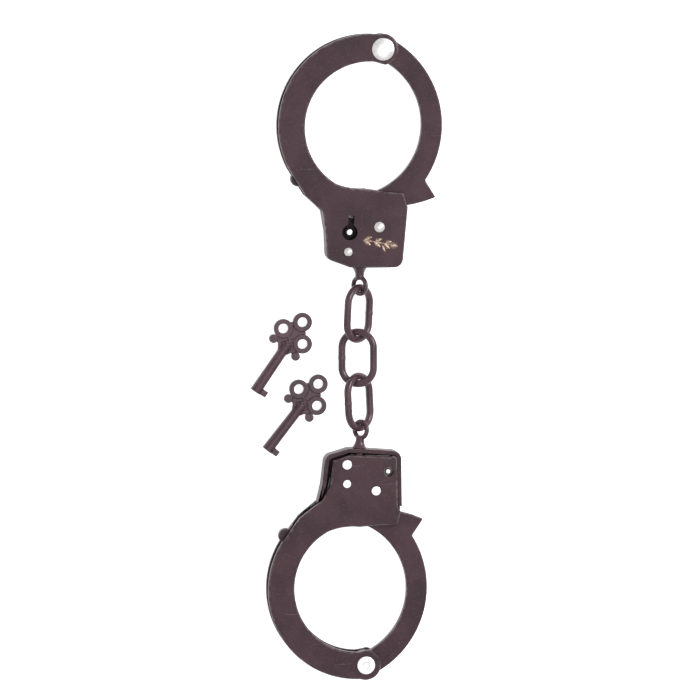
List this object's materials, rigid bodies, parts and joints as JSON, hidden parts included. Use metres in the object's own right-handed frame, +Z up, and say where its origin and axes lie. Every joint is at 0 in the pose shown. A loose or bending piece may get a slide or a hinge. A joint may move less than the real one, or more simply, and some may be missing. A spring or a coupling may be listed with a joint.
{
  "type": "handcuffs",
  "caption": "Pair of chain-link handcuffs with swing-through toothed jaws, working pawl locks, swivels and matching clover-bow keys.",
  "frame": {"origin": "on the surface that the set lies on, at the middle of its footprint", "axes": "+Z up off that surface, +Y along the chain towards cuff A (the one that lies face up), +X towards the jaws"},
  "size_m": [0.0754, 0.2551, 0.0111],
  "materials": {
    "black_finish": "satin black oxide on steel, edges slightly rubbed",
    "bright_steel": "bright nickel-plated rivets, faintly brushed",
    "inner_steel": "plain hardened steel, oiled",
    "gilt_mark": null
  },
  "bodies": {
    "case_a": {"front_cheek_a": "black_finish", "back_cheek_a": "black_finish", "cheek_rivet_a": "bright_steel", "pawl_rivet_a": "bright_steel", "case_rivet_a": "bright_steel", "key_post_a": "bright_steel", "spacer_a": "inner_steel", "pawl_spring_a": "inner_steel"},
    "jaw_a": {"jaw_a": "black_finish"},
    "pawl_a": {"pawl_a": "inner_steel"},
    "plunger_a": {"lock_plunger_a": "bright_steel"},
    "lock_bar_a": {"lock_bar_a": "inner_steel"},
    "swivel_a": {"swivel_a": "black_finish"},
    "case_b": {"front_cheek_b": "black_finish", "back_cheek_b": "black_finish", "cheek_rivet_b": "bright_steel", "pawl_rivet_b": "bright_steel", "case_rivet_b": "bright_steel", "key_post_b": "bright_steel", "spacer_b": "inner_steel", "pawl_spring_b": "inner_steel"},
    "jaw_b": {"jaw_b": "black_finish"},
    "pawl_b": {"pawl_b": "inner_steel"},
    "plunger_b": {"lock_plunger_b": "bright_steel"},
    "lock_bar_b": {"lock_bar_b": "inner_steel"},
    "swivel_b": {"swivel_b": "black_finish"},
    "link_1": {"link_1": "black_finish"},
    "link_2": {"link_2": "black_finish"},
    "link_3": {"link_3": "black_finish"},
    "key_1": {"key_1": "black_finish"},
    "key_2": {"key_2": "black_finish"}
  },
  "joints": [
    {"name": "jaw_a_swing", "type": "hinge", "parent": "case_a", "child": "jaw_a", "pos_m": [0.0141, 0.1213, 0.0053], "axis": [0, 0, 1], "continuous": true},
    {"name": "pawl_a_lift", "type": "hinge", "parent": "case_a", "child": "pawl_a", "pos_m": [0.0127, 0.0518, 0.0053], "axis": [0, 0, -1], "range_deg": [-5.5, 0], "stiffness_Nm_per_rad": 0.002, "springref_deg": 8, "deforming": ["pawl_spring_a"]},
    {"name": "plunger_a_press", "type": "slide", "parent": "case_a", "child": "plunger_a", "axis": [0, 0, 1], "range_m": [0, 0.0015]},
    {"name": "lock_bar_a_slide", "type": "slide", "parent": "case_a", "child": "lock_bar_a", "axis": [-1, 0, 0], "range_m": [0, 0.0015]},
    {"name": "swivel_a_spin", "type": "hinge", "parent": "case_a", "child": "swivel_a", "pos_m": [0.0055, 0.0358, 0.0053], "axis": [0, 1, 0], "continuous": true},
    {"name": "link_1_swing", "type": "hinge", "parent": "swivel_a", "child": "link_1", "pos_m": [0.0055, 0.0253, 0.0053], "axis": [0.6428, 0, 0.766], "range_deg": [-20, 20]},
    {"name": "link_2_swing", "type": "hinge", "parent": "link_1", "child": "link_2", "pos_m": [0.00453, 0.00727, 0.0056], "axis": [0.766, 0, -0.6428], "range_deg": [-20, 20]},
    {"name": "link_3_swing", "type": "hinge", "parent": "link_2", "child": "link_3", "pos_m": [0.0047, -0.01021, 0.0056], "axis": [0.9397, 0, 0.342], "range_deg": [-20, 20]},
    {"name": "swivel_b_swing", "type": "hinge", "parent": "link_3", "child": "swivel_b", "pos_m": [0.00567, -0.02769, 0.0056], "axis": [0.766, 0, -0.6428], "range_deg": [-20, 20]},
    {"name": "swivel_b_spin", "type": "hinge", "parent": "swivel_b", "child": "case_b", "pos_m": [0.00533, -0.03569, 0.0057], "axis": [-0.0767, -0.9971, 0], "continuous": true},
    {"name": "jaw_b_swing", "type": "hinge", "parent": "case_b", "child": "jaw_b", "pos_m": [0.00735, -0.1216, 0.0057], "axis": [0, 0, -1], "continuous": true},
    {"name": "pawl_b_lift", "type": "hinge", "parent": "case_b", "child": "pawl_b", "pos_m": [0.01129, -0.0522, 0.0057], "axis": [0, 0, 1], "range_deg": [-5.5, 0], "stiffness_Nm_per_rad": 0.002, "springref_deg": 8, "deforming": ["pawl_spring_b"]},
    {"name": "plunger_b_press", "type": "slide", "parent": "case_b", "child": "plunger_b", "axis": [0, 0, -1], "range_m": [0, 0.0015]},
    {"name": "lock_bar_b_slide", "type": "slide", "parent": "case_b", "child": "lock_bar_b", "axis": [-0.9971, 0.0767, 0], "range_m": [0, 0.0015]},
    {"name": "key_1_lift", "type": "slide", "parent": "case_a", "child": "key_1", "axis": [0, 0, 1], "range_m": [0, 0.03]},
    {"name": "key_2_lift", "type": "slide", "parent": "case_a", "child": "key_2", "axis": [0, 0, 1], "range_m": [0, 0.03]}
  ],
  "couplings": [
    {"joint": "lock_bar_a_slide", "follows": "plunger_a_press", "ratio": 1},
    {"joint": "lock_bar_b_slide", "follows": "plunger_b_press", "ratio": 1}
  ]
}
